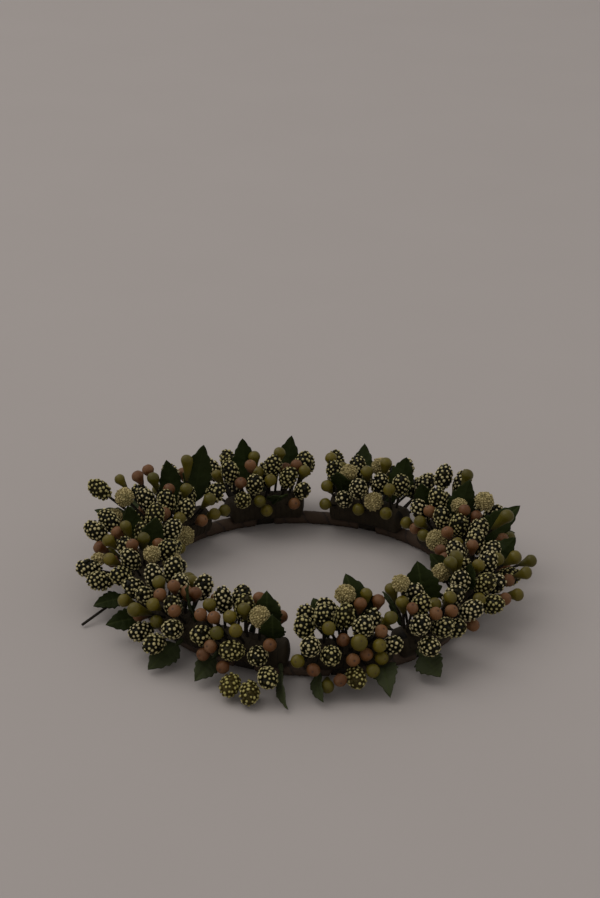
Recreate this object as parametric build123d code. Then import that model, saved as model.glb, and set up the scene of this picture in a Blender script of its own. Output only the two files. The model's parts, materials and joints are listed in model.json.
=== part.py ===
from build123d import *
import math
import os
from dataclasses import dataclass

import numpy as np

# A candle ring: wired berry sprigs bound round a paper-wrapped hoop, with a clear round room in the middle.
# Millimetres and degrees, +Z up. The ring is centred on the origin, stands on Z = 0 and its front faces -Y.

# Base hoop
HOOP_RADIUS = 54.0
HOOP_THICKNESS = 4.6
CORE_WIRE_THICKNESS = 1.8
CORE_WIRE_CLEARANCE = 0.03
STANDING_FLAT_DEPTH = 0.25
NECK_THICKNESS = 3.1

# Taped binding that holds a sprig on a straight neck of the hoop and lets it be turned
BINDING_LENGTH = 6.0
BINDING_WALL = 0.35
BINDING_TURNING_CLEARANCE = 0.05
BINDING_END_CLEARANCE = 0.3
SPRIG_TILT = 14.0

# Taped bundle of stems that straddles the hoop, and the wires that leave it and carry the berries
BUNDLE_THICKNESS = 9.6
BUNDLE_HEIGHT = 5.2
BUNDLE_OVERHANG = 2.0
BUNDLE_END_GAP = 1.3
BUNDLE_CLEARANCE = 0.9
POST_THICKNESS = 2.6
WIRE_SHARE = 0.7
PLAN_HEIGHT = 6.0
WIRE_THICKNESS = 0.9
SOCKET_CLEARANCE = 0.05
SOCKET_DEPTH = 2.0
SOCKET_END_CLEARANCE = 0.2

# Pods, buds, berries, balls and leaves
POD_WIDTH = 6.6
POD_LENGTH = 9.8
BUD_WIDTH = 4.3
BUD_LENGTH = 6.4
BERRY_WIDTH = 4.2
BERRY_LENGTH = 5.4
BALL_WIDTH = 6.6
NECK_END_SHARE = 0.38
LEAF_THICKNESS = 0.6
LEAF_TEETH = 6
LEAF_ARCH = 0.09
PETIOLE_THICKNESS = 1.9
PETIOLE_LENGTH = 2.3
PETIOLE_OVERLAP = 1.2

# Small pieces that fill the bare places of a sprig
FILL_REACH = 11.5
FILL_TURN_STEP = 2.0
FILL_TILT_STEP = 8.0
FILL_LOWEST = 14.0
FILL_HIGHEST = 164.0
FILL_POD_ROOM = 3.1
FILL_BERRY_ROOM = 2.3
FILL_POD_SCALE = 0.9
FILL_LIMIT = 12

# Room kept free round the pieces
CLEAR_RADIUS = 41.0
PIECE_GAP = 0.3
FLOOR_GAP = 0.6
WEDGE_GAP = 0.6
LARGEST_SHIFT = 5.0
SETTLE_STEPS = 150

HOOP_LEVEL = HOOP_THICKNESS / 2 - STANDING_FLAT_DEPTH
BINDING_BORE = NECK_THICKNESS / 2 + BINDING_TURNING_CLEARANCE
BINDING_OUTSIDE = BINDING_BORE + BINDING_WALL
NECK_LENGTH = BINDING_LENGTH + 2 * BINDING_END_CLEARANCE
SOCKET_RADIUS = WIRE_THICKNESS / 2 + SOCKET_CLEARANCE
OUT = np.array([1.0, 0.0, 0.0])
ALONG = np.array([0.0, 1.0, 0.0])
UP = np.array([0.0, 0.0, 1.0])


@dataclass
class Piece:
    """One berry: where its middle sits round the hoop, its size and where its wire leaves the stem."""
    kind: str
    around: float
    tilt: float
    reach: float
    width: float
    length: float
    lean: float


@dataclass
class Leaf:
    """One leaf: where its tip ends, its width, its roll, the bare wire before the blade and its arch."""
    around: float
    tilt: float
    reach: float
    width: float
    lean: float = 0.0
    roll: float = 0.0
    bare: float = 7.8
    arch: float = LEAF_ARCH


@dataclass
class Tail:
    """A bare wire end without a berry."""
    around: float
    tilt: float
    reach: float
    lean: float = 0.0


def pod(around, tilt, reach, lean=0.0, scale=1.0):
    return Piece("pods", around, tilt, reach, POD_WIDTH * scale, POD_LENGTH * scale, lean)


def bud(around, tilt, reach, lean=0.0, scale=1.0, stretch=1.0):
    return Piece("green_buds", around, tilt, reach, BUD_WIDTH * scale, BUD_LENGTH * scale * stretch, lean)


def berry(around, tilt, reach, lean=0.0, scale=1.0):
    return Piece("brown_berries", around, tilt, reach, BERRY_WIDTH * scale, BERRY_LENGTH * scale, lean)


def ball(around, tilt, reach, lean=0.0, scale=1.0, stretch=1.0):
    return Piece("sugared_balls", around, tilt, reach, BALL_WIDTH * scale, BALL_WIDTH * scale * stretch, lean)


# Planting plan: each sprig has the two angles that bound its share of the hoop, then its pieces.
# Every piece is placed by its angle round the hoop (270 is the front), its tilt about the stem
# (0 outward, 90 up, 180 inward) and its reach from the stem.
SPRIGS = {
    "front_left": (236, 265, [
        pod(242, 25, 13), pod(252, 17, 13, 7), pod(253, -10, 19), pod(260, 3, 17), pod(257, -13, 21),
        pod(240, 92, 13), pod(245, 108, 13), pod(250, 95, 12), pod(256, 118, 11), pod(257, 22, 10),
        bud(248, 60, 14), bud(252, 78, 14), bud(246, 37, 14), bud(251, 45, 14), bud(239, 74, 13),
        berry(239, 57, 14), berry(243, 55, 14), berry(247, 17, 14), berry(242, 0, 13), berry(250, 0, 14),
        berry(253, 112, 14), berry(259, 28, 13),
        ball(257, 57, 14, 0, 0.97, 1.18),
        Leaf(257, 92, 20, 10, 3, 15), Leaf(243, -15, 20, 8, -2, -30), Leaf(250, 148, 18, 8),
        Leaf(261, 62, 20, 8.5, 2, 15), Leaf(267, -15, 25, 5, 6, 60, 8),
    ]),
    "front": (265, 300, [
        pod(269, 68, 13), pod(274, 75, 13), pod(279, 104, 13, 8), pod(281, 82, 13), pod(271, 43, 13),
        pod(277, 25, 13), pod(287, 68, 13), pod(284, -5, 14), pod(272, 108, 11), pod(292, 85, 10),
        bud(277, 57, 15, 4), bud(269, 20, 13), bud(275, -6, 15), bud(285, 42, 14, 0, 1.2), bud(290, 32, 14),
        bud(294, 72, 14), bud(288, -3, 14), bud(293, 108, 16, 0, 0.9),
        berry(272, 5, 14), berry(279, -5, 15), berry(289, 97, 14), berry(295, 95, 15), berry(291, 50, 14),
        berry(283, 17, 13),
        ball(285, 108, 15),
        Leaf(273, 128, 17, 8.5, 4), Leaf(287, 121, 24, 11.5, 9, -15), Leaf(275, -14, 22, 6, -4, 60, 8),
        Leaf(291, -16, 22, 9, 7, 15, 7.8, 0.28),
    ]),
    "front_right": (300, 327, [
        pod(309, 85, 13), pod(304, 52, 13), pod(311, 40, 13), pod(305, 25, 13), pod(322, 45, 14),
        pod(317, 30, 11), pod(313, 112, 12), pod(323, 78, 12),
        bud(305, 118, 14), bud(303, 80, 13), bud(319, 65, 14),
        berry(303, 62, 15, 0, 0.9), berry(309, 62, 14), berry(316, 48, 14),
        ball(306, 105, 17, 0, 0.85),
        Leaf(317, 106, 23, 13.5, 1, -45), Leaf(306, -14, 19, 10, -1, 30), Leaf(306, 140, 17, 8, 0, 30),
    ]),
    "right": (327, 366, [
        pod(335, 27, 13), pod(336, 50, 13), pod(346, 72, 13), pod(352, 110, 13), pod(360, 82, 13),
        pod(343, 38, 12), pod(356, 62, 13), pod(331, 62, 12), pod(345, 100, 10), pod(357, 12, 13),
        bud(340, 96, 14, -3, 1.1, 1.4), bud(332, 88, 14, 6, 1.05, 1.2), bud(350, 55, 14), bud(358, 32, 16, 0, 1.1),
        bud(362, 18, 20), bud(352, 22, 19), bud(347, 8, 16), bud(341, 72, 14),
        berry(349, 24, 14), berry(360, 136, 13), berry(354, 88, 14), berry(339, 20, 15),
        ball(350, 156, 13, 0, 0.75), ball(336, 115, 13, 0, 0.9),
        Leaf(343, 130, 19, 9, 0, -45), Leaf(361, 45, 21, 9, 2, 60), Leaf(335, 78, 18, 8, -1, 40),
    ]),
    "far_right": (366, 406, [
        pod(402, 74, 18), pod(398, 58, 20), pod(391, 92, 15), pod(383, 110, 13), pod(395, 122, 13),
        pod(376, 92, 12), pod(371, 70, 13), pod(383, 30, 17), pod(393, 30, 17), pod(388, 60, 12),
        bud(393, 66, 23), bud(372, 46, 19, 0, 1.1, 1.4), bud(388, 138, 14), bud(375, 22, 17), bud(400, 42, 18),
        berry(378, 62, 14), berry(370, 36, 15), berry(371, 118, 13), berry(389, 118, 14), berry(379, 82, 15),
        ball(381, 60, 20), ball(385, 80, 15, 0, 0.85), ball(376, 148, 13, 0, 1.1),
        Leaf(376, 40, 27, 10, -2, 45), Leaf(387, 72, 24, 10, 2, 45), Leaf(399, 104, 20, 9, 2, 45),
        Leaf(383, 5, 24, 9, 0, 30),
    ]),
    "back_right": (406, 447, [
        pod(411, 100, 14), pod(417, 60, 16), pod(425, 25, 17), pod(433, 75, 14), pod(441, 45, 16), pod(430, 125, 14),
        pod(422, 92, 11), pod(410, 45, 15), pod(434, 22, 14), pod(440, 92, 13), pod(418, 15, 16),
        bud(412, 30, 18), bud(422, 75, 16), bud(437, 8, 17), bud(443, 78, 15), bud(427, 100, 15), bud(413, 118, 15),
        ball(427, 52, 16), ball(420, 140, 13), ball(436, 112, 14, 0, 0.9),
        Leaf(415, 78, 22, 10), Leaf(434, 48, 24, 10, 1), Leaf(438, 120, 19, 9), Leaf(423, 5, 24, 9),
    ]),
    "back_left": (447, 487, [
        pod(452, 75, 14), pod(458, 30, 17), pod(466, 95, 14), pod(475, 52, 16), pod(481, 88, 14), pod(470, 15, 18),
        pod(459, 110, 13), pod(481, 40, 16), pod(463, 60, 12), pod(451, 40, 15), pod(474, 118, 13),
        bud(453, 108, 14), bud(462, 72, 17), bud(479, 22, 17), bud(468, 122, 14), bud(454, 15, 17), bud(470, 75, 16),
        berry(457, 2, 16), berry(468, 50, 15), berry(480, 118, 14), berry(455, 92, 14), berry(474, 92, 15),
        Leaf(456, 58, 24, 10), Leaf(473, 70, 24, 10, 1), Leaf(466, 2, 25, 9), Leaf(464, 148, 17, 8),
    ]),
    "far_left": (487, 526, [
        pod(520, 30, 25), pod(518, 62, 15), pod(497, 45, 18), pod(512, 110, 12), pod(504, 92, 11), pod(515, 92, 13),
        pod(494, 68, 14), pod(508, 32, 17), pod(496, 115, 13),
        bud(511, 68, 19), bud(508, 105, 16), bud(502, 130, 15, 0, 1, 1.2), bud(518, 48, 24, 0, 0.85),
        bud(499, 84, 20, 0, 1, 1.5), bud(499, 20, 17),
        berry(513, 57, 22), berry(508, 58, 22), berry(511, 86, 15), berry(492, 40, 17),
        ball(519, 46, 19), ball(521, 26, 18, 0, 0.9), ball(519, 168, 13),
        Leaf(494, 92, 28, 11, 2, -45), Leaf(504, 72, 24, 9, 1, -45), Leaf(519, 14, 26, 8, 0, -30),
        Leaf(505, 5, 24, 9, 0, -30),
    ]),
    "left": (526, 565, [
        pod(532, 52, 16), pod(536, 33, 19), pod(531, 87, 13), pod(550, 15, 19), pod(556, 8, 15), pod(539, 138, 13),
        pod(546, 60, 11), pod(556, 62, 12), pod(552, 118, 13), pod(533, 112, 12), pod(560, 38, 12),
        bud(552, 38, 14), bud(543, 42, 15), bud(539, 65, 14, 0, 0.9, 1.2), bud(548, 88, 13),
        berry(540, 25, 16), berry(537, 45, 14), berry(550, 72, 13), berry(533, 22, 16),
        ball(545, 18, 16, 0, 0.75), ball(560, 92, 14, 0, 0.85), ball(546, 150, 13),
        Leaf(543, 102, 20, 9, 1, -75), Leaf(559, -9, 19, 7, 3, -30, 8), Leaf(533, 70, 20, 8, -1, -60),
        Tail(562, -16.5, 24.5, -8),
    ]),
    "near_left": (565, 596, [
        pod(572, 105, 13), pod(573, 75, 13), pod(577, 45, 13, 0, 0.85), pod(582, 3, 15), pod(591, 18, 14),
        pod(588, -8, 15), pod(588, 114, 13), pod(581, 95, 11), pod(570, 42, 12),
        bud(579, 68, 14), bud(584, 42, 15), bud(580, 26, 15, 0, 1.1, 1.4), bud(572, 18, 14),
        berry(584, 75, 14), berry(583, 54, 14), berry(591, 42, 14), berry(591, 82, 13),
        Leaf(590, -17, 22, 9.5, 2, -30), Leaf(593, 72, 20, 7, 2, -30), Leaf(578, 148, 18, 8, 0, 30),
        Leaf(571, -5, 20, 8, 0, -45),
    ]),
}


def unit(vector):
    return vector / np.linalg.norm(vector)


def turned(vector, axis, degrees):
    """The vector turned about a unit axis."""
    angle = math.radians(degrees)
    parallel = axis * (vector @ axis)
    across = vector - parallel
    return parallel + across * math.cos(angle) + np.cross(axis, vector) * math.sin(angle)


class Sprig:
    """The frame of one sprig: X outward, Y along the hoop, Z up, from the hoop's centreline at the binding."""

    def __init__(self, start, end):
        self.middle = (start + end) / 2
        self.half = math.radians((end - start) / 2)
        angle = math.radians(self.middle)
        self.out = np.array([math.cos(angle), math.sin(angle), 0.0])
        self.along = np.array([-math.sin(angle), math.cos(angle), 0.0])
        self.origin = self.out * HOOP_RADIUS + UP * HOOP_LEVEL

    def place(self, around, tilt, reach):
        """A point given round the hoop, in the sprig's own frame."""
        turn = math.radians(around - self.middle)
        radius = HOOP_RADIUS + reach * math.cos(math.radians(tilt))
        height = PLAN_HEIGHT + reach * math.sin(math.radians(tilt))
        return np.array([radius * math.cos(turn) - HOOP_RADIUS, radius * math.sin(turn), height])

    def root(self, point, lean):
        """Where the wire to a point leaves the middle line of the bundle."""
        turn = math.atan2(point[1], HOOP_RADIUS + point[0]) * WIRE_SHARE + lean / HOOP_RADIUS
        limit = self.half - (BUNDLE_END_GAP + BUNDLE_OVERHANG) / HOOP_RADIUS
        turn = min(max(turn, -limit), limit)
        return np.array([HOOP_RADIUS * math.cos(turn) - HOOP_RADIUS, HOOP_RADIUS * math.sin(turn), BUNDLE_HEIGHT])

    def world(self, point):
        return self.origin + self.out * point[0] + self.along * point[1] + UP * point[2]

    def turn(self, vector):
        return self.out * vector[0] + self.along * vector[1] + UP * vector[2]


class LeafShape:
    """The frame of one leaf in its sprig: base, direction, face and length."""

    def __init__(self, sprig, leaf):
        tip = sprig.place(leaf.around, leaf.tilt, leaf.reach)
        self.start = sprig.root(tip, leaf.lean)
        self.direction = unit(tip - self.start)
        self.base = self.start + self.direction * leaf.bare
        self.length = np.linalg.norm(tip - self.base)
        self.width = leaf.width
        face = np.cross(self.direction, ALONG)
        if np.linalg.norm(face) < 0.4:
            face = OUT + UP - self.direction * ((OUT + UP) @ self.direction)
        face = unit(face)
        if face @ (OUT + UP) < 0:
            face = -face
        self.face = turned(face, self.direction, leaf.roll)
        self.side = np.cross(self.face, self.direction)
        self.arch = self.length * leaf.arch
        self.bend = (self.length ** 2 / 4 + self.arch ** 2) / (2 * self.arch)

    def half_width(self, share):
        return self.width / 2 * max(math.sin(math.pi * share ** 0.8), 0.0) ** 0.9

    def lift(self, share):
        """How far the arched blade stands off the straight line from base to tip."""
        offset = (share - 0.5) * self.length
        return math.sqrt(self.bend ** 2 - offset ** 2) - self.bend + self.arch

    def outline(self):
        edge = [(0.0, PETIOLE_THICKNESS / 4)]
        for tooth in range(LEAF_TEETH):
            point = (tooth + 0.7) / LEAF_TEETH
            notch = (tooth + 0.92) / LEAF_TEETH
            edge.append((point * self.length, self.half_width(point)))
            if tooth < LEAF_TEETH - 1:
                edge.append((notch * self.length, 0.82 * self.half_width(notch)))
        tip = [(self.length, 0.0)]
        return edge + tip + [(x, -y) for x, y in reversed(edge)]

    def balls(self):
        """Small balls that fill the blade and its wire, for keeping berries clear of it."""
        rows = max(int(self.length / 1.6), 4)
        points = []
        for row in range(rows + 1):
            share = row / rows
            half = self.half_width(share)
            steps = max(int(half / 0.8), 1)
            for step in range(-steps, steps + 1):
                spot = self.base + self.direction * (share * self.length)
                points.append(spot + self.side * (half * step / steps) + self.face * self.lift(share))
        radii = [LEAF_THICKNESS / 2] * len(points)
        count = int(np.linalg.norm(self.base - self.start) / 0.8)
        for step in range(2, count + 1):
            points.append(self.start + (self.base - self.start) * (step / count))
            radii.append(PETIOLE_THICKNESS / 2)
        return points, radii


def stand_ins(pieces, middles, roots):
    """Balls that stand in for the berries and their wires while they are spaced out: the owner of each ball,
    its radius, its offset from the berry's middle, its share of the free wire and whether it is a wire."""
    rows = []
    for number, piece in enumerate(pieces):
        if piece.kind in ("green_buds", "brown_berries"):
            head = piece.length / 2 - piece.width / 2
            rows.append((number, piece.width / 2, head, 0.0, False))
            rows.append((number, 0.36 * piece.width, -0.15 * piece.length, 0.0, False))
            rows.append((number, 0.27 * piece.width, -0.36 * piece.length, 0.0, False))
        else:
            rows.append((number, piece.width / 2, 0.0, 0.0, False))
            rows.append((number, 0.42 * piece.width, 0.26 * piece.length, 0.0, False))
            rows.append((number, 0.42 * piece.width, -0.26 * piece.length, 0.0, False))
        free = np.linalg.norm(middles[number] - roots[number]) - piece.length / 2
        count = max(int(free / 1.8), 1)
        for step in range(1, count):
            rows.append((number, WIRE_THICKNESS / 2, 0.0, (step + 0.5) / count, True))
    return [np.array(column) for column in zip(*rows)]


def ball_centres(middles, roots, halves, owners, offsets, shares, wires):
    """Where the stand-in balls are for berries at the given middles."""
    lines = middles - roots
    lengths = np.linalg.norm(lines, axis=1)
    axes = (lines / lengths[:, None])[owners]
    from_root = roots[owners] + axes * (shares * (lengths - halves)[owners])[:, None]
    from_middle = middles[owners] + axes * offsets[:, None]
    return np.where(wires[:, None], from_root, from_middle)


def room_at(sprig, spots, taken, sizes):
    """The radius of the ball that fits at each spot, at rest and when the sprig is tilted up."""
    room = (np.linalg.norm(spots[:, None] - taken[None], axis=2) - sizes).min(axis=1)
    for tilt in (0.0, math.radians(SPRIG_TILT)):
        outward = spots[:, 0] * math.cos(tilt) - spots[:, 2] * math.sin(tilt)
        height = spots[:, 0] * math.sin(tilt) + spots[:, 2] * math.cos(tilt) + HOOP_LEVEL
        beside = (HOOP_RADIUS + outward) * math.sin(sprig.half) - np.abs(spots[:, 1]) * math.cos(sprig.half)
        room = np.minimum(room, np.minimum(height - FLOOR_GAP, beside - WEDGE_GAP / 2))
    return np.minimum(room, np.hypot(HOOP_RADIUS + spots[:, 0], spots[:, 1]) - CLEAR_RADIUS)


def fillers(sprig, pieces, leaves):
    """Small pods, buds and berries for the places that a sprig's plan leaves bare, the barest place first."""
    middles, roots = settle(sprig, pieces, leaves)
    halves = np.array([piece.length / 2 for piece in pieces])
    owners, sizes, offsets, shares, wires = stand_ins(pieces, middles, roots)
    taken = ball_centres(middles, roots, halves, owners, offsets, shares, wires)
    for leaf in leaves:
        points, radii = leaf.balls()
        taken = np.concatenate([taken, points])
        sizes = np.concatenate([sizes, radii])
    reach = math.degrees(sprig.half)
    turns = np.arange(sprig.middle - reach, sprig.middle + reach, FILL_TURN_STEP)
    tilts = np.arange(FILL_LOWEST, FILL_HIGHEST, FILL_TILT_STEP)
    places = [(turn, tilt) for turn in turns for tilt in tilts]
    spots = np.array([sprig.place(turn, tilt, FILL_REACH) for turn, tilt in places])
    small = [berry, bud] if any(piece.kind == "brown_berries" for piece in pieces) else [bud]
    added = []
    while len(added) < FILL_LIMIT:
        room = room_at(sprig, spots, taken, sizes)
        best = room.argmax()
        if room[best] < FILL_BERRY_ROOM:
            break
        turn, tilt = places[best]
        if room[best] > FILL_POD_ROOM:
            piece = pod(turn, tilt, FILL_REACH, 0.0, FILL_POD_SCALE)
        else:
            piece = small[len(added) % len(small)](turn, tilt, FILL_REACH)
        added.append(piece)
        line = unit(spots[best] - sprig.root(spots[best], 0.0)) * piece.length / 4
        taken = np.concatenate([taken, [spots[best], spots[best] + line, spots[best] - line]])
        sizes = np.concatenate([sizes, np.array([0.5, 0.42, 0.42]) * piece.width])
    return added


def settle(sprig, pieces, leaves):
    """Move the berries of a sprig apart until they clear each other, the leaves, the hoop, the floor,
    the clear room and the neighbouring sprigs, both at rest and when the sprig is tilted up."""
    middles = np.array([sprig.place(piece.around, piece.tilt, piece.reach) for piece in pieces])
    roots = np.array([sprig.root(middle, piece.lean) for middle, piece in zip(middles, pieces)])
    halves = np.array([piece.length / 2 for piece in pieces])
    planned = middles.copy()
    owners, radii, offsets, shares, wires = stand_ins(pieces, middles, roots)
    fixed = []
    fixed_radii = []
    for leaf in leaves:
        points, sizes = leaf.balls()
        fixed += points
        fixed_radii += sizes
    for step in range(-24, 25):
        turn = step * sprig.half / 20
        fixed.append(OUT * (math.cos(turn) - 1) * HOOP_RADIUS + ALONG * math.sin(turn) * HOOP_RADIUS)
        fixed_radii.append(HOOP_THICKNESS / 2)
    fixed = np.array(fixed)
    fixed_radii = np.array(fixed_radii)
    rows = np.arange(len(owners))
    body = ~wires
    strangers = (owners[:, None] != owners[None]) & ~(wires[:, None] & wires[None])
    for step in range(SETTLE_STEPS):
        centres = ball_centres(middles, roots, halves, owners, offsets, shares, wires)
        apart = centres[:, None] - centres[None]
        distance = np.linalg.norm(apart, axis=2) + 1e-6
        short = np.clip(radii[:, None] + radii[None] + PIECE_GAP - distance, 0, None) * strangers
        push = 0.5 * (apart * (short / distance)[..., None]).sum(axis=1)

        apart = centres[:, None] - fixed[None]
        distance = np.linalg.norm(apart, axis=2) + 1e-6
        short = np.clip(radii[:, None] + fixed_radii[None] + PIECE_GAP - distance, 0, None)
        nearest = short.argmax(axis=1)
        push += apart[rows, nearest] * (short[rows, nearest] / distance[rows, nearest])[:, None]

        for tilt in (0.0, math.radians(SPRIG_TILT)):
            outward = centres[:, 0] * math.cos(tilt) - centres[:, 2] * math.sin(tilt)
            height = centres[:, 0] * math.sin(tilt) + centres[:, 2] * math.cos(tilt) + HOOP_LEVEL
            push[:, 2] += body * np.clip(FLOOR_GAP + radii - height, 0, None)
            inside = (HOOP_RADIUS + outward) * math.sin(sprig.half) - radii - WEDGE_GAP / 2
            over = np.clip(np.abs(centres[:, 1]) * math.cos(sprig.half) - inside, 0, None)
            push[:, 1] -= body * np.sign(centres[:, 1]) * over
        spoke = (centres + OUT * HOOP_RADIUS) * (1, 1, 0)
        around_bundle = spoke * (1 - HOOP_RADIUS / np.linalg.norm(spoke, axis=1))[:, None]
        around_bundle[:, 2] = centres[:, 2] - BUNDLE_HEIGHT
        distance = np.linalg.norm(around_bundle, axis=1) + 1e-6
        short = body * np.clip(BUNDLE_THICKNESS / 2 + radii + PIECE_GAP - distance, 0, None)
        push += around_bundle * (short / distance)[:, None]
        near = CLEAR_RADIUS + radii - np.hypot(HOOP_RADIUS + centres[:, 0], centres[:, 1])
        push[:, 0] += body * np.clip(near, 0, None)

        total = np.zeros_like(middles)
        active = np.ones(len(pieces))
        np.add.at(total, owners, push)
        np.add.at(active, owners, np.linalg.norm(push, axis=1) > 1e-4)
        move = total / np.maximum(active - 1, 1)[:, None] * 0.8
        middles = middles + np.clip(move, -0.6, 0.6)
        shift = middles - planned
        distance = np.linalg.norm(shift, axis=1) + 1e-6
        middles = planned + shift * np.minimum(1, LARGEST_SHIFT / distance)[:, None]
    return middles, roots


def rod(start, end, radius):
    """A round bar between two points."""
    line = Vector(*end) - Vector(*start)
    bar = Cylinder(radius, line.length, align=(Align.CENTER, Align.CENTER, Align.MIN))
    return Plane(origin=Vector(*start), z_dir=line) * bar


def turned_solid(profile):
    """A profile drawn with its axis up the page, spun into a solid that stands along Z."""
    return Rot(90, 0, 0) * revolve(make_face(profile), Axis.Y)


def oval_solid(width, length):
    """A pod or a ball: an oval with a blind socket for its wire at the lower end."""
    foot = math.degrees(math.acos(2 * SOCKET_RADIUS / width))
    low = -length / 2 * math.sin(math.radians(foot))
    if length > width:
        side = EllipticalCenterArc((0, 0), width / 2, length / 2, start_angle=-foot, arc_size=90 + foot)
    else:
        side = CenterArc((0, 0), width / 2, -foot, 90 + foot)
    floor = low + SOCKET_DEPTH
    socket = Polyline((0, length / 2), (0, floor), (SOCKET_RADIUS, floor), (SOCKET_RADIUS, low))
    return turned_solid([side, socket])


def drop_solid(width, length):
    """A bud or a berry: a round head that narrows to a neck with a blind socket for its wire."""
    head = width / 2
    centre = length / 2 - head
    neck = NECK_END_SHARE * width / 2 + WIRE_THICKNESS / 4
    foot = length / 2
    drop = centre + foot
    distance = math.hypot(neck, drop)
    touch = math.atan2(-drop, neck) + math.acos(head / distance)
    middle = (touch + math.pi / 2) / 2
    start = (head * math.cos(touch), centre + head * math.sin(touch))
    through = (head * math.cos(middle), centre + head * math.sin(middle))
    cone = Line((neck, -foot), start)
    cap = ThreePointArc(start, through, (0, length / 2))
    floor = -foot + SOCKET_DEPTH
    socket = Polyline((0, length / 2), (0, floor), (SOCKET_RADIUS, floor), (SOCKET_RADIUS, -foot), (neck, -foot))
    return turned_solid([cone, cap, socket])


def leaf_solid(shape):
    """An arched toothed blade with a petiole that is slipped over its wire."""
    blade = extrude(make_face(Polyline(*shape.outline(), close=True)), shape.length, both=True)
    thick = LEAF_THICKNESS / 2
    skin = Cylinder(shape.bend + thick, shape.width * 2) - Cylinder(shape.bend - thick, shape.width * 2)
    skin = Pos(shape.length / 2, 0, shape.arch - shape.bend) * Rot(90, 0, 0) * skin
    upper = Pos(shape.length / 2, 0, 0) * Box(shape.length * 2, shape.width * 2, shape.arch * 3 + 2)
    petiole = rod((-PETIOLE_LENGTH, 0, 0), (PETIOLE_OVERLAP, 0, 0), PETIOLE_THICKNESS / 2)
    socket = rod((-PETIOLE_LENGTH, 0, 0), (SOCKET_DEPTH - PETIOLE_LENGTH, 0, 0), SOCKET_RADIUS)
    return ((blade & skin & upper) + petiole - socket).solids()[0]


os.makedirs("parts", exist_ok=True)
for old in os.listdir("parts"):
    os.remove(os.path.join("parts", old))

# Hoop: a closed core wire in a paper wrap, pressed in to a straight neck at every binding
ring = Pos(0, 0, HOOP_LEVEL)
core_wire = ring * Torus(HOOP_RADIUS, CORE_WIRE_THICKNESS / 2)
wrap = ring * Torus(HOOP_RADIUS, HOOP_THICKNESS / 2)
gaps = []
necks = []
for start, end, plan in SPRIGS.values():
    sprig = Sprig(start, end)
    plane = Plane(origin=Vector(*sprig.origin), x_dir=Vector(*sprig.out), z_dir=Vector(*UP))
    gaps.append(plane * Box(HOOP_THICKNESS * 2, NECK_LENGTH, HOOP_THICKNESS * 2))
    reach = ALONG * (NECK_LENGTH / 2 + HOOP_THICKNESS / 4)
    necks.append(rod(sprig.world(-reach), sprig.world(reach), NECK_THICKNESS / 2))
wrap = wrap - gaps + necks
wrap -= ring * Torus(HOOP_RADIUS, CORE_WIRE_THICKNESS / 2 + CORE_WIRE_CLEARANCE)
wrap -= Pos(0, 0, -HOOP_THICKNESS) * Box(HOOP_RADIUS * 3, HOOP_RADIUS * 3, HOOP_THICKNESS * 2)
export_step(core_wire, "parts/hoop_core_wire.step")
export_step(wrap, "parts/hoop_paper_wrap.step")

# Section of a bundle, drawn at the hoop's radius: round, with a channel that leaves the hoop free
bundle_circle = Pos(HOOP_RADIUS, HOOP_LEVEL + BUNDLE_HEIGHT) * Circle(BUNDLE_THICKNESS / 2)
bundle_channel = Pos(HOOP_RADIUS, HOOP_LEVEL) * Circle(HOOP_THICKNESS / 2 + BUNDLE_CLEARANCE)
bundle_section = Plane.XZ * (bundle_circle - bundle_channel)

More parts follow.
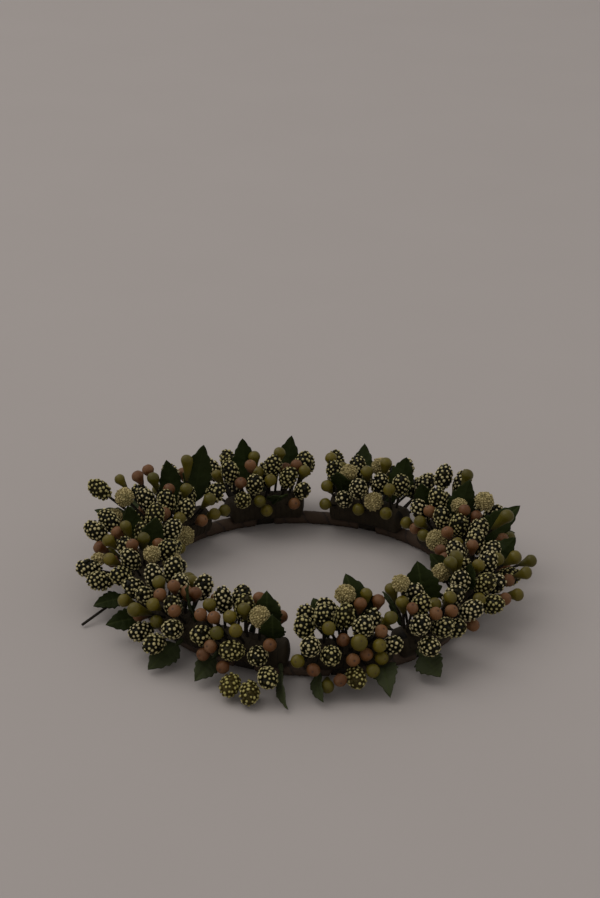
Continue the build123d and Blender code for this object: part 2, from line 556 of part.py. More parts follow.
# Sprigs: the stem with its binding and wires in one piece, then the berries and leaves by kind
for name, (start, end, plan) in SPRIGS.items():
    sprig = Sprig(start, end)
    pieces = [item for item in plan if isinstance(item, Piece)]
    leaves = [LeafShape(sprig, item) for item in plan if isinstance(item, Leaf)]
    tails = [item for item in plan if isinstance(item, Tail)]
    pieces += fillers(sprig, pieces, leaves)
    middles, roots = settle(sprig, pieces, leaves)
    groups = {}
    wires = []
    spread = [0.0]
    for piece, middle, root in zip(pieces, middles, roots):
        axis = unit(middle - root)
        foot = middle - axis * piece.length / 2
        if piece.kind in ("green_buds", "brown_berries"):
            solid = drop_solid(piece.width, piece.length)
        else:
            solid = oval_solid(piece.width, piece.length)
        place = Plane(origin=Vector(*sprig.world(middle)), z_dir=Vector(*sprig.turn(axis)))
        groups.setdefault(piece.kind, []).append(place * solid)
        end_point = foot + axis * (SOCKET_DEPTH - SOCKET_END_CLEARANCE)
        wires.append(rod(sprig.world(root), sprig.world(end_point), WIRE_THICKNESS / 2))
        spread.append(math.asin(root[1] / HOOP_RADIUS))
    for shape in leaves:
        plane = Plane(origin=Vector(*sprig.world(shape.base)), x_dir=Vector(*sprig.turn(shape.direction)),
                      z_dir=Vector(*sprig.turn(shape.face)))
        groups.setdefault("leaves", []).append(plane * leaf_solid(shape))
        socket_floor = shape.base - shape.direction * (PETIOLE_LENGTH - SOCKET_DEPTH + SOCKET_END_CLEARANCE)
        wires.append(rod(sprig.world(shape.start), sprig.world(socket_floor), WIRE_THICKNESS / 2))
        spread.append(math.asin(shape.start[1] / HOOP_RADIUS))
    for tail in tails:
        tip = sprig.place(tail.around, tail.tilt, tail.reach)
        root = sprig.root(tip, tail.lean)
        wires.append(rod(sprig.world(root), sprig.world(tip), WIRE_THICKNESS / 2))
    half_binding = ALONG * (BINDING_LENGTH / 2)
    binding = rod(sprig.world(-half_binding), sprig.world(half_binding), BINDING_OUTSIDE)
    binding -= rod(sprig.world(-half_binding), sprig.world(half_binding), BINDING_BORE)
    low_end = UP * (BINDING_BORE + BINDING_WALL / 2)
    post = rod(sprig.world(low_end), sprig.world(UP * BUNDLE_HEIGHT), POST_THICKNESS / 2)
    first = sprig.middle + math.degrees(min(spread) - BUNDLE_OVERHANG / HOOP_RADIUS)
    last = sprig.middle + math.degrees(max(spread) + BUNDLE_OVERHANG / HOOP_RADIUS)
    bundle = revolve(Rot(0, 0, first) * bundle_section, Axis.Z, last - first)
    stem = binding + post + bundle
    for wire in wires:
        stem += wire
    export_step(stem, f"parts/{name}_stem.step")
    for kind, solids in groups.items():
        export_step(Compound(children=solids, label=f"{name}_{kind}"), f"parts/{name}_{kind}.step")
    print(name, "middle", sprig.middle, len(pieces), "berries", len(leaves), "leaves", len(stem.solids()), "stem solid")
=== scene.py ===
import json
import math

import bpy
import numpy as np
from mathutils import Matrix


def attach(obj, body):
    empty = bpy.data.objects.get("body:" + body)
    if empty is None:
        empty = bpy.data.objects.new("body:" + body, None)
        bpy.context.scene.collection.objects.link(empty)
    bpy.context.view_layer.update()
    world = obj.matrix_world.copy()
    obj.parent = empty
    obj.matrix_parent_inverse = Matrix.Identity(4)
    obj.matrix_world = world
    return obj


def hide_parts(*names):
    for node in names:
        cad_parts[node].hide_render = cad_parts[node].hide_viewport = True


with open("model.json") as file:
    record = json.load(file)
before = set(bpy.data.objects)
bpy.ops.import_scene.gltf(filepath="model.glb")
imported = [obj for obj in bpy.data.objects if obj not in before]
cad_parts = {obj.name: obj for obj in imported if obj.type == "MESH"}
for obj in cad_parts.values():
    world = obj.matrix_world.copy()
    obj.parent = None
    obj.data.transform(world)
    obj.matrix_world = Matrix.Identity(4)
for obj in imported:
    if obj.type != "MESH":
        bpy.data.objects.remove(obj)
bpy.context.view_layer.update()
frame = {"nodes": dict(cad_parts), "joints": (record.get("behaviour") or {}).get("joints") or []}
hinges = {joint["child"].removesuffix("_sprig"): joint for joint in frame["joints"]}


# Hoop: a steel wire closed into a ring and wound with a strip of grey-brown paper.
# The strip overlaps itself at a slant and is pressed in where a sprig is bound on.
# Under the ring it is flattened, so that the ring stands firm.

first_hinge = hinges["front"]["pos_m"]
HOOP_RADIUS = math.hypot(first_hinge[0], first_hinge[1])
HOOP_LEVEL = first_hinge[2]
PAPER_RADIUS = 0.0023
NECK_RADIUS = 0.0014
NECK_REACH = 0.0033
NECK_SHOULDER = 0.0004
PAPER_TURNS = 42
PAPER_STEP = 0.00016
PAPER_LEVEL_LAP = 0.6
PAPER_WRINKLE = 0.00006
WRINKLE_WAVES = (171, 59)
HOOP_STEPS = 900
HOOP_SIDES = 18


def build_piece(name, points, faces, finish, marks):
    """A smooth-shaded mesh object with one finish and its painted marks, one number for each point."""
    mesh = bpy.data.meshes.new(name)
    mesh.from_pydata(points.tolist(), [], faces)
    mesh.polygons.foreach_set("use_smooth", [True] * len(mesh.polygons))
    for mark, values in marks.items():
        layer = mesh.attributes.new(mark, "FLOAT", "POINT")
        layer.data.foreach_set("value", np.asarray(values, np.float32))
    mesh.materials.append(finish)
    piece = bpy.data.objects.new(name, mesh)
    bpy.context.scene.collection.objects.link(piece)
    return piece


def mottle_group():
    """Soft patches and fine grain over a surface, for every finish that isn't one even colour."""
    group = bpy.data.node_groups.new("mottle", "ShaderNodeTree")
    group.interface.new_socket("Scale", in_out="INPUT", socket_type="NodeSocketFloat")
    group.interface.new_socket("Fineness", in_out="INPUT", socket_type="NodeSocketFloat")
    group.interface.new_socket("Patches", in_out="OUTPUT", socket_type="NodeSocketFloat")
    group.interface.new_socket("Grain", in_out="OUTPUT", socket_type="NodeSocketFloat")
    entry = group.nodes.new("NodeGroupInput")
    leave = group.nodes.new("NodeGroupOutput")
    place = group.nodes.new("ShaderNodeTexCoord")
    patches = group.nodes.new("ShaderNodeTexNoise")
    patches.inputs["Detail"].default_value = 4.0
    finer = group.nodes.new("ShaderNodeMath")
    finer.operation = "MULTIPLY"
    grain = group.nodes.new("ShaderNodeTexNoise")
    grain.inputs["Detail"].default_value = 2.0
    group.links.new(place.outputs["Object"], patches.inputs["Vector"])
    group.links.new(place.outputs["Object"], grain.inputs["Vector"])
    group.links.new(entry.outputs["Scale"], patches.inputs["Scale"])
    group.links.new(entry.outputs["Scale"], finer.inputs[0])
    group.links.new(entry.outputs["Fineness"], finer.inputs[1])
    group.links.new(finer.outputs[0], grain.inputs["Scale"])
    group.links.new(patches.outputs["Fac"], leave.inputs["Patches"])
    group.links.new(grain.outputs["Fac"], leave.inputs["Grain"])
    return group


MOTTLE = mottle_group()


class Finish:
    """A material with one Principled shader, and short ways to colour it."""

    def __init__(self, name, roughness):
        self.material = bpy.data.materials.new(name)
        self.material.use_nodes = True
        self.tree = self.material.node_tree
        self.shader = self.tree.nodes["Principled BSDF"]
        self.shader.inputs["Roughness"].default_value = roughness

    def mottle(self, scale, fineness):
        node = self.tree.nodes.new("ShaderNodeGroup")
        node.node_tree = MOTTLE
        node.inputs["Scale"].default_value = scale
        node.inputs["Fineness"].default_value = fineness
        return node.outputs["Patches"], node.outputs["Grain"]

    def mark(self, name):
        node = self.tree.nodes.new("ShaderNodeAttribute")
        node.attribute_name = name
        return node.outputs["Fac"]

    def spread(self, value, low, high, first=0.0, last=1.0):
        """The value stretched so that low becomes first and high becomes last."""
        node = self.tree.nodes.new("ShaderNodeMapRange")
        node.interpolation_type = "SMOOTHSTEP"
        node.inputs["From Min"].default_value = low
        node.inputs["From Max"].default_value = high
        node.inputs["To Min"].default_value = first
        node.inputs["To Max"].default_value = last
        self.tree.links.new(value, node.inputs["Value"])
        return node.outputs["Result"]

    def blend(self, share, first, second):
        """Two colours mixed by a share. A colour is three numbers or the output of another node."""
        node = self.tree.nodes.new("ShaderNodeMix")
        node.data_type = "RGBA"
        self.tree.links.new(share, node.inputs[0])
        for socket, colour in ((node.inputs[6], first), (node.inputs[7], second)):
            if isinstance(colour, tuple):
                socket.default_value = (*colour, 1.0)
            else:
                self.tree.links.new(colour, socket)
        return node.outputs[2]

    def colour(self, output):
        self.tree.links.new(output, self.shader.inputs["Base Color"])

    def roughness(self, output):
        self.tree.links.new(output, self.shader.inputs["Roughness"])

    def relief(self, height, depth):
        """Fine relief in the surface, depth in metres."""
        node = self.tree.nodes.new("ShaderNodeBump")
        node.inputs["Strength"].default_value = 1.0
        node.inputs["Distance"].default_value = depth
        self.tree.links.new(height, node.inputs["Height"])
        self.tree.links.new(node.outputs["Normal"], self.shader.inputs["Normal"])


def hoop_mesh():
    """The wound hoop: a ring of slanted paper turns with a thin neck under every binding."""
    turn = np.arange(HOOP_STEPS) * 2 * np.pi / HOOP_STEPS
    girth = np.arange(HOOP_SIDES) * 2 * np.pi / HOOP_SIDES
    turn, girth = np.meshgrid(turn, girth, indexing="ij")
    lap = (turn * PAPER_TURNS + girth) / (2 * np.pi) % 1.0
    radius = PAPER_RADIUS + PAPER_STEP * (lap - PAPER_LEVEL_LAP)
    wrinkle = np.sin(turn * WRINKLE_WAVES[0] + 3 * girth) * np.sin(turn * WRINKLE_WAVES[1] - girth)
    radius += PAPER_WRINKLE * wrinkle
    for hinge in hinges.values():
        bound = math.atan2(hinge["pos_m"][1], hinge["pos_m"][0])
        apart = np.abs((turn - bound + np.pi) % (2 * np.pi) - np.pi) * HOOP_RADIUS
        free = np.clip((apart - NECK_REACH) / NECK_SHOULDER, 0, 1)
        radius = NECK_RADIUS + (radius - NECK_RADIUS) * free
    out = HOOP_RADIUS + radius * np.cos(girth)
    height = np.maximum(HOOP_LEVEL + radius * np.sin(girth), 0.0)
    points = np.stack([out * np.cos(turn), out * np.sin(turn), height], axis=-1).reshape(-1, 3)
    faces = []
    for row in range(HOOP_STEPS):
        for column in range(HOOP_SIDES):
            after = (row + 1) % HOOP_STEPS * HOOP_SIDES
            beside = (column + 1) % HOOP_SIDES
            here = row * HOOP_SIDES
            faces.append((here + column, after + column, after + beside, here + beside))
    return points, faces, lap.ravel()


paper = Finish("wound_paper", 0.78)
paper_patches, paper_grain = paper.mottle(90.0, 16.0)
# Painted shade: the paper is painted darker in a band along the foot of each lap step, under the edge of
# the turn above.
paper_lap_shade = paper.spread(paper.mark("lap"), 0.04, 0.22)
paper_ground = paper.blend(paper_patches, (0.036, 0.020, 0.011), (0.080, 0.048, 0.027))
paper.colour(paper.blend(paper_lap_shade, (0.022, 0.014, 0.011), paper_ground))
paper.relief(paper_grain, 0.00012)
hoop_points, hoop_faces, hoop_laps = hoop_mesh()
wound_hoop = build_piece("wound_paper_hoop", hoop_points, hoop_faces, paper.material, {"lap": hoop_laps})
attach(wound_hoop, "hoop")
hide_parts("hoop_paper_wrap")

drawn_wire = Finish("drawn_wire", 0.35)
drawn_wire.shader.inputs["Metallic"].default_value = 1.0
wire_patches = drawn_wire.mottle(400.0, 6.0)[0]
drawn_wire.colour(drawn_wire.blend(wire_patches, (0.30, 0.29, 0.27), (0.42, 0.41, 0.39)))
core_wire = frame["nodes"]["hoop_core_wire"]
core_wire.data.materials.clear()
core_wire.data.materials.append(drawn_wire.material)


# Stems: thin wires gathered into a bundle that lies along the hoop, wound with dark waxed tape, matt.
# The same tape binds the bundle to the hoop, and the single wires run on out of it into the berries.
# A ridged winding covers each bundle, and a channel under it leaves the hoop free to turn.

BUNDLE_RADIUS = 0.0048
BUNDLE_HEIGHT = 0.0052
BUNDLE_MIDDLE = 0.0006
CHANNEL_RADIUS = 0.0032
TAPE_ADVANCE = 0.0021
TAPE_STEP = 0.00016
TAPE_OVER = 0.00005
TAPE_SIDES = 27
CHANNEL_SIDES = 11
CHANNEL_LAP = 0.5
TAPE_RING_PITCH = 0.00025
TAPE_RINGS_LEAST = 8
TAPE_END_RINGS = ((0.0005, 0.96), (0.0010, 0.86), (0.0014, 0.70), (0.0017, 0.45))
BUNDLE_SLACK = 0.00003


def bundle_span(hinge, node):
    """First and last angle round the hoop of a taped bundle, measured on its solid."""
    mesh = frame["nodes"][node].data
    corners = np.empty(len(mesh.vertices) * 3)
    mesh.vertices.foreach_get("co", corners)
    corners = corners.reshape(-1, 3)
    bound = math.atan2(hinge["pos_m"][1], hinge["pos_m"][0])
    out = np.hypot(corners[:, 0], corners[:, 1]) - HOOP_RADIUS
    beside = np.hypot(out, corners[:, 2] - HOOP_LEVEL - BUNDLE_HEIGHT)
    turn = (np.arctan2(corners[:, 1], corners[:, 0]) - bound + np.pi) % (2 * np.pi) - np.pi
    turn = turn[np.abs(beside - BUNDLE_RADIUS) < BUNDLE_SLACK]
    return bound + turn.min(), bound + turn.max()


def winding_mesh(first, last):
    """Tape wound on a bundle between two angles: slanted laps over the top, a smooth channel below."""
    low = (CHANNEL_RADIUS ** 2 - BUNDLE_RADIUS ** 2 + BUNDLE_HEIGHT ** 2) / (2 * BUNDLE_HEIGHT)
    beside = math.sqrt(CHANNEL_RADIUS ** 2 - low ** 2)
    start = math.atan2(low - BUNDLE_HEIGHT, beside)
    girth = np.linspace(start, math.pi - start, TAPE_SIDES)
    brim = math.atan2(low, beside)
    inner = np.linspace(math.pi - brim, brim, CHANNEL_SIDES)[1:-1]
    ring_count = int((last - first) * HOOP_RADIUS / TAPE_RING_PITCH)
    turns = np.linspace(first, last, max(ring_count, TAPE_RINGS_LEAST))
    rings = []
    laps = []
    for turn in turns:
        lap = (turn * HOOP_RADIUS / TAPE_ADVANCE + girth / (2 * np.pi)) % 1.0
        radius = BUNDLE_RADIUS + TAPE_OVER + TAPE_STEP * lap
        over = np.column_stack([radius * np.cos(girth), BUNDLE_HEIGHT + radius * np.sin(girth)])
        below = (CHANNEL_RADIUS - TAPE_OVER) * np.column_stack([np.cos(inner), np.sin(inner)])
        rings.append((turn, np.concatenate([over, below])))
        laps.append(np.concatenate([lap, np.full(len(inner), CHANNEL_LAP)]))
    centre = np.array([0.0, BUNDLE_HEIGHT + BUNDLE_MIDDLE])
    for beyond, size in TAPE_END_RINGS:
        step = beyond / HOOP_RADIUS
        rings.insert(0, (first - step, centre + (rings[0][1] - centre) * size))
        rings.append((last + step, centre + (rings[-1][1] - centre) * size))
        laps.insert(0, laps[0])
        laps.append(laps[-1])
    count = len(rings[0][1])
    points = []
    faces = []
    for number, (turn, section) in enumerate(rings):
        out = HOOP_RADIUS + section[:, 0]
        height = HOOP_LEVEL + section[:, 1]
        points.append(np.column_stack([out * math.cos(turn), out * math.sin(turn), height]))
        if number:
            here = (number - 1) * count
            for corner in range(count):
                beside = (corner + 1) % count
                faces.append((here + corner, here + count + corner, here + count + beside, here + beside))
    faces.append(tuple(range(count)))
    faces.append(tuple(reversed(range(len(rings) * count - count, len(rings) * count))))
    return np.concatenate(points), faces, np.concatenate(laps)


tape = Finish("waxed_tape", 0.66)
tape.shader.inputs["Specular IOR Level"].default_value = 0.25
tape_patches, tape_grain = tape.mottle(320.0, 7.0)
tape_ground = tape.blend(tape_patches, (0.007, 0.005, 0.003), (0.020, 0.015, 0.008))
tape.colour(tape.blend(tape.spread(tape_grain, 0.52, 0.72), tape_ground, (0.030, 0.023, 0.013)))
tape.relief(tape_grain, 0.00025)
winding = Finish("wound_tape", 0.7)
winding.shader.inputs["Specular IOR Level"].default_value = 0.2
winding_patches, winding_grain = winding.mottle(240.0, 9.0)
winding_ground = winding.blend(winding_patches, (0.015, 0.011, 0.006), (0.044, 0.032, 0.017))
# Painted shade: the tape is painted near black in a band along the foot of each lap step, under the edge
# of the lap above.
winding_lap_shade = winding.spread(winding.mark("lap"), 0.02, 0.2)
winding.colour(winding.blend(winding_lap_shade, (0.005, 0.004, 0.003), winding_ground))
winding.relief(winding_grain, 0.00015)
for sprig, hinge in hinges.items():
    stem = frame["nodes"][sprig + "_stem"]
    stem.data.materials.clear()
    stem.data.materials.append(tape.material)
    tape_points, tape_faces, tape_laps = winding_mesh(*bundle_span(hinge, sprig + "_stem"))
    wound = build_piece(sprig + "_wound_bundle", tape_points, tape_faces, winding.material,
                        {"lap": tape_laps})
    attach(wound, sprig + "_sprig")


# Leaves: dark green pressed cloth with toothed edges, a sunk midrib and slanted side veins.
# Each blade is arched along its length, folded a little along the midrib, and slipped over its wire.
# The ones that hang down to the table are painted a lighter, greyer green: painted sheen, as the light
# catches them.

LEAF_TEETH = 6
LEAF_NOTCH = 0.18
TOOTH_START = 0.08
TOOTH_RISE = 0.78
BLADE_SKEW = 0.8
BLADE_FULLNESS = 0.9
BLADE_MIDDLE = (0.4, 0.75)
LEAF_ROWS = 48
LEAF_COLUMNS = 12
LEAF_THICKNESS = 0.0004
CLOTH_HALF = 0.0003
LEAF_FOLD = 0.13
LEAF_WAVE = 0.00022
LEAF_RIPPLES = 15
LEAF_LEAST_ARCH = 0.0004
VEIN_DEPTH = 0.00016
VEIN_SLANT = 0.16
VEIN_WIDTH = 0.13
VEIN_END = 0.96
SIDE_VEIN_SHARE = 0.75
UNDERSIDE_VEIN_SHARE = 0.6
MIDRIB_WIDTH = 0.0004
PETIOLE_LENGTH = 0.0023
PETIOLE_RADIUS = 0.00078
PETIOLE_SIDES = 10
PETIOLE_TAPER = 0.6
PETIOLE_MARK = 0.5
FOOT_DEPTH = 0.0004
LOW_LEAF = 0.004
HANGING_SHEEN = (0.2, 0.65)
STANDING_SHEEN = (0.0, 0.08)
LEAF_SEED = 11


def separate_solids(node):
    """The corner points of each closed solid in a CAD node."""
    mesh = frame["nodes"][node].data
    mesh.calc_loop_triangles()
    corners = np.empty(len(mesh.vertices) * 3)
    mesh.vertices.foreach_get("co", corners)
    spots, owner = np.unique(np.round(corners.reshape(-1, 3), 6), axis=0, return_inverse=True)
    triangles = np.empty(len(mesh.loop_triangles) * 3, int)
    mesh.loop_triangles.foreach_get("vertices", triangles)
    triangles = owner.ravel()[triangles].reshape(-1, 3)
    label = np.arange(len(spots))
    changed = True
    while changed:
        lowest = label[triangles].min(axis=1)
        before = label.copy()
        for corner in range(3):
            np.minimum.at(label, triangles[:, corner], lowest)
        label = label[label]
        changed = not np.array_equal(before, label)
    return [spots[label == number] for number in np.unique(label)]


def from_stem(hinge, point):
    """The way from a sprig's main stem to a point, square to the stem."""
    line = np.array(hinge["axis"])
    way = point - np.array(hinge["pos_m"]) - np.array([0, 0, BUNDLE_HEIGHT])
    return way - line * (way @ line)


def leaf_frame(spots, hinge):
    """Base, direction, side, face, length, width and arch of a leaf's blade."""
    middle = spots.mean(axis=0)
    axes = np.linalg.eigh(np.cov((spots - middle).T))[1]
    along = axes[:, 2]
    if along @ from_stem(hinge, middle) < 0:
        along = -along
    reach = (spots - middle) @ along
    tip = spots[reach.argmax()]
    foot = spots[reach < reach.min() + FOOT_DEPTH].mean(axis=0)
    along = (tip - foot) / np.linalg.norm(tip - foot)
    side = axes[:, 1] - along * (axes[:, 1] @ along)
    side /= np.linalg.norm(side)
    face = np.cross(along, side)
    lift = (spots - foot) @ face
    share = (spots - foot) @ along / np.linalg.norm(tip - foot)
    if lift[(share > BLADE_MIDDLE[0]) & (share < BLADE_MIDDLE[1])].mean() < 0:
        face = -face
        side = -side
    base = foot + along * PETIOLE_LENGTH
    length = np.linalg.norm(tip - base)
    width = 2 * np.abs((spots - foot) @ side).max()
    arch = max(np.abs(lift).max() - CLOTH_HALF, LEAF_LEAST_ARCH)
    return base, along, side, face, length, width, arch


def leaf_mesh(spots, hinge, dice):
    """Points, faces and vein marks of one leaf: a closed toothed blade and its petiole."""
    base, along, side, face, length, width, arch = leaf_frame(spots, hinge)
    share = np.linspace(0.0, 1.0, LEAF_ROWS + 1)[:, None]
    across = np.linspace(-1.0, 1.0, LEAF_COLUMNS + 1)[None]
    tooth = (share * LEAF_TEETH + TOOTH_START) % 1.0
    saw = np.where(tooth < TOOTH_RISE, tooth / TOOTH_RISE, (1.0 - tooth) / (1.0 - TOOTH_RISE))
    half = width / 2 * np.sin(np.pi * share ** BLADE_SKEW).clip(0, 1) ** BLADE_FULLNESS
    half = np.maximum(half * (1 - LEAF_NOTCH * (1 - saw)), PETIOLE_RADIUS * PETIOLE_TAPER * (1 - share))
    bend = (length ** 2 / 4 + arch ** 2) / (2 * arch)
    lift = np.sqrt(bend ** 2 - ((share - 0.5) * length) ** 2) - bend + arch
    phase = dice.uniform(0, 2 * np.pi)
    wave = LEAF_WAVE * across ** 2 * np.sin(share * LEAF_RIPPLES + phase + across)
    fold = LEAF_FOLD * half * (np.abs(across) - 0.5) * np.sin(np.pi * share)
    slant = (share - np.abs(across) * VEIN_SLANT) * LEAF_TEETH
    beside_vein = (slant + 0.25) % 1.0 - 0.5
    side_vein = np.exp(-(beside_vein / VEIN_WIDTH) ** 2) * (np.abs(across) < VEIN_END)
    midrib = np.exp(-(across * half / MIDRIB_WIDTH) ** 2)
    vein = np.maximum(midrib, SIDE_VEIN_SHARE * side_vein * np.sin(np.pi * share) ** 0.4)
    level = lift + wave + fold - VEIN_DEPTH * vein
    flat = base + along * (share * length)[..., None] + side * (across * half)[..., None]
    upper = (flat + face * (level + LEAF_THICKNESS / 2)[..., None]).reshape(-1, 3)
    lower = (flat + face * (level - LEAF_THICKNESS / 2)[..., None]).reshape(-1, 3)
    columns = LEAF_COLUMNS + 1
    count = len(upper)
    faces = []
    for row in range(LEAF_ROWS):
        for column in range(LEAF_COLUMNS):
            corner = row * columns + column
            beyond = corner + columns
            faces.append((corner, beyond, beyond + 1, corner + 1))
            faces.append((count + corner, count + corner + 1, count + beyond + 1, count + beyond))
        for corner, beyond in ((row * columns, (row + 1) * columns),
                               ((row + 2) * columns - 1, (row + 1) * columns - 1)):
            faces.append((corner, count + corner, count + beyond, beyond))
    for column in range(LEAF_COLUMNS):
        corner = LEAF_ROWS * columns + column
        faces.append((column, column + 1, count + column + 1, count + column))
        faces.append((corner + 1, corner, count + corner, count + corner + 1))
    marks = np.concatenate([vein.ravel(), vein.ravel() * UNDERSIDE_VEIN_SHARE])
    stalk, stalk_faces = spun_mesh(petiole_profile(), PETIOLE_SIDES)
    stalk = base + stalk[:, 2:] * along + stalk[:, :1] * side + stalk[:, 1:2] * face
    faces += [tuple(corner + 2 * count for corner in one) for one in stalk_faces]
    points = np.concatenate([upper, lower, stalk])
    return points, faces, np.concatenate([marks, np.full(len(stalk), PETIOLE_MARK)])


def petiole_profile():
    """Radius and height down a leaf's stalk, from where it runs out under the midrib to its open foot."""
    return [(0.0, 0.0042), (0.00028, 0.0038), (0.0005, 0.0012), (PETIOLE_RADIUS, -0.0006),
            (PETIOLE_RADIUS, -PETIOLE_LENGTH + 0.0001), (PETIOLE_RADIUS - 0.0001, -PETIOLE_LENGTH),
            (0.0, -PETIOLE_LENGTH)]


def spun_mesh(profile, segments):
    """Points and faces of a profile of radius and height, from pole to pole, spun about the Z axis."""
    turn = np.arange(segments) * 2 * np.pi / segments
    points = [[0.0, 0.0, profile[0][1]]]
    for radius, height in profile[1:-1]:
        for angle in turn:
            points.append([radius * math.cos(angle), radius * math.sin(angle), height])
    points.append([0.0, 0.0, profile[-1][1]])
    rings = len(profile) - 2
    last = len(points) - 1
    faces = []
    for column in range(segments):
        beside = (column + 1) % segments
        faces.append((0, 1 + column, 1 + beside))
        for ring in range(rings - 1):
            here = 1 + ring * segments
            below = here + segments
            faces.append((here + column, below + column, below + beside, here + beside))
        low = 1 + (rings - 1) * segments
        faces.append((last, low + beside, low + column))
    return np.array(points), faces


def gather(parts):
    """Several meshes as one: all the points, all the faces and all the marks."""
    points = []
    faces = []
    marks = {}
    start = 0
    for part_points, part_faces, part_marks in parts:
        points.append(part_points)
        faces += [tuple(corner + start for corner in face) for face in part_faces]
        for name, values in part_marks.items():
            marks.setdefault(name, []).append(values)
        start += len(part_points)
    return np.concatenate(points), faces, {name: np.concatenate(values) for name, values in marks.items()}


leaf_cloth = Finish("leaf_cloth", 0.65)
leaf_cloth.shader.inputs["Specular IOR Level"].default_value = 0.12
leaf_patches, leaf_grain = leaf_cloth.mottle(130.0, 14.0)
leaf_ground = leaf_cloth.blend(leaf_patches, (0.007, 0.012, 0.0015), (0.022, 0.033, 0.004))
# Painted sheen: leaves that hang low are blended towards a lighter grey green, standing in for the light
# on them.
leaf_ground = leaf_cloth.blend(leaf_cloth.mark("painted_sheen"), leaf_ground, (0.085, 0.095, 0.052))
leaf_veins = leaf_cloth.spread(leaf_cloth.mark("vein"), 0.35, 1.0, 0.0, 0.5)
leaf_cloth.colour(leaf_cloth.blend(leaf_veins, leaf_ground, (0.048, 0.064, 0.018)))
leaf_cloth.roughness(leaf_cloth.spread(leaf_grain, 0.3, 0.7, 0.56, 0.76))
leaf_cloth.relief(leaf_grain, 0.00008)
leaf_dice = np.random.default_rng(LEAF_SEED)
for sprig, hinge in hinges.items():
    blades = []
    for spots in separate_solids(sprig + "_leaves"):
        blade_points, blade_faces, blade_veins = leaf_mesh(spots, hinge, leaf_dice)
        # How much painted sheen each leaf gets: more on leaves that hang low to the table.
        hanging = spots[:, 2].min() < LOW_LEAF
        painted_sheen = leaf_dice.uniform(*(HANGING_SHEEN if hanging else STANDING_SHEEN))
        blade_marks = {"vein": blade_veins, "painted_sheen": np.full(len(blade_points), painted_sheen)}
        blades.append((blade_points, blade_faces, blade_marks))
    blade_points, blade_faces, blade_marks = gather(blades)
    foliage = build_piece(sprig + "_veined_leaves", blade_points, blade_faces, leaf_cloth.material,
                          blade_marks)
    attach(foliage, sprig + "_sprig")
    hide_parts(sprig + "_leaves")


# Beaded pods: an oval core, almost black green, set all over with round beads, a little unevenly.
# Every bead is dark at its sides and has a cream or pale green tip, so that the pod looks dotted.
# The pods that lie close to the table are riper, with an olive ground.

BEAD_RADIUS = 0.00064
BEAD_SPACING = 0.00142
BEAD_SUNK = 0.00012
BEAD_SHIFT = 0.00017
BEAD_SIZES = (0.7, 1.08)
BEAD_SIDES = 8
BEAD_RINGS_DEG = (0, 24, 46, 72, 108, 180)
BEAD_TIP_MARKS = (1.0, 1.0, 0.6, 0.05, 0.0, 0.0)
BEADS_DOWN_TO_DEG = 166
CREAM_RANGE = (0.7, 1.0)
BARE_BEADS = 0.06
POD_CORE_RINGS = 15
CORE_SIDES = 16
NEARLY_UPRIGHT = 0.8
SPIRAL_STEPS = 400
SPIRAL_SHAKE = 0.035
CLOSE_PACKING = 0.866
GOLDEN_TURN = math.pi * (3 - math.sqrt(5))
RIPE_BELOW = 0.0065
RIPENESS = (0.0, 0.75)
LOW_RIPENESS = (0.8, 1.0)
POD_SEED = 23


def berry_frame(spots, hinge):
    """Middle, axis, length and width of a berry that was turned about its own axis."""
    middle = spots.mean(axis=0)
    spreads, axes = np.linalg.eigh(np.cov((spots - middle).T))
    alone = 2 if spreads[2] - spreads[1] > spreads[1] - spreads[0] else 0
    axis = axes[:, alone]
    if axis @ from_stem(hinge, middle) < 0:
        axis = -axis
    reach = (spots - middle) @ axis
    beside = np.linalg.norm(spots - middle - np.outer(reach, axis), axis=1)
    centre = middle + axis * (reach.max() + reach.min()) / 2
    return centre, axis, np.ptp(reach), 2 * beside.max()


def standing_axes(axis):
    """Three square directions as rows, the last one along the axis."""
    helper = np.array([0.0, 0.0, 1.0]) if abs(axis[2]) < NEARLY_UPRIGHT else np.array([1.0, 0.0, 0.0])
    side = np.cross(helper, axis)
    side /= np.linalg.norm(side)
    return np.array([side, np.cross(axis, side), axis])


def spiral_on_oval(radius, half, spacing, lowest, dice):
    """Evenly spread points on an oval and their outward directions, in a golden spiral from its top."""
    polar = np.linspace(0.0, np.pi, SPIRAL_STEPS)
    strip = np.sin(polar) * np.hypot(radius * np.cos(polar), half * np.sin(polar))
    area = np.concatenate([[0.0], np.cumsum((strip[1:] + strip[:-1]) / 2)])
    surface = 2 * np.pi * radius * area[-1] * (polar[1] - polar[0])
    count = int(surface / (spacing ** 2 * CLOSE_PACKING))
    ranks = (np.arange(count) + 0.5) / count
    down = np.interp(ranks, area / area[-1], polar)
    down = down[down < lowest]
    turn = np.arange(len(down)) * GOLDEN_TURN + dice.uniform(0, 2 * np.pi)
    turn += dice.normal(0, SPIRAL_SHAKE, len(down)) / np.maximum(np.sin(down), 0.2)
    ring = np.stack([np.cos(turn), np.sin(turn)], axis=1) * np.sin(down)[:, None]
    places = np.column_stack([ring * radius, np.cos(down) * half])
    outward = np.column_stack([ring / radius, np.cos(down) / half])
    return places, outward / np.linalg.norm(outward, axis=1)[:, None]


